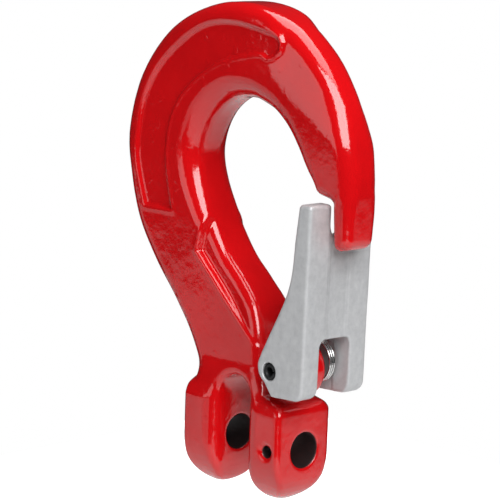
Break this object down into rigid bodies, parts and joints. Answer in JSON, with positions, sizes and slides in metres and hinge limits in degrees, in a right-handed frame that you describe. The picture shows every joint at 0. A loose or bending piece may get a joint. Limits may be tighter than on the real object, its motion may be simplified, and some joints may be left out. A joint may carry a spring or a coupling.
{
  "type": "clevis sling hook with latch",
  "caption": "Forged clevis sling hook with a wide bowl, a forked end for a chain and its load pin, and a sprung cast latch that closes the throat behind the tip.",
  "frame": {"origin": "centre of the load-pin bore, midway between the two clevis ears", "axes": "+X from the back of the bowl to the tip side, +Y through the hook's thickness, +Z from the clevis to the bowl; a hook hanging in use has +Z pointing down"},
  "size_m": [0.0866, 0.024, 0.134],
  "materials": {
    "enamel": "glossy red enamel over a forged surface",
    "cast_metal": "satin grey casting",
    "blackened_steel": "black oxide",
    "spring_steel": "bright drawn wire"
  },
  "bodies": {
    "hook": {"hook_body": "enamel", "latch_pin": "blackened_steel", "latch_spring": "spring_steel"},
    "gate": {"latch": "cast_metal"}
  },
  "joints": [
    {"name": "latch_pivot", "type": "hinge", "parent": "hook", "child": "gate", "pos_m": [0.0165, 0, 0.0228], "axis": [0, -1, 0], "range_deg": [0, 51], "stiffness_Nm_per_rad": 0.06, "springref_deg": -45.84, "deforming": ["latch_spring"]}
  ]
}
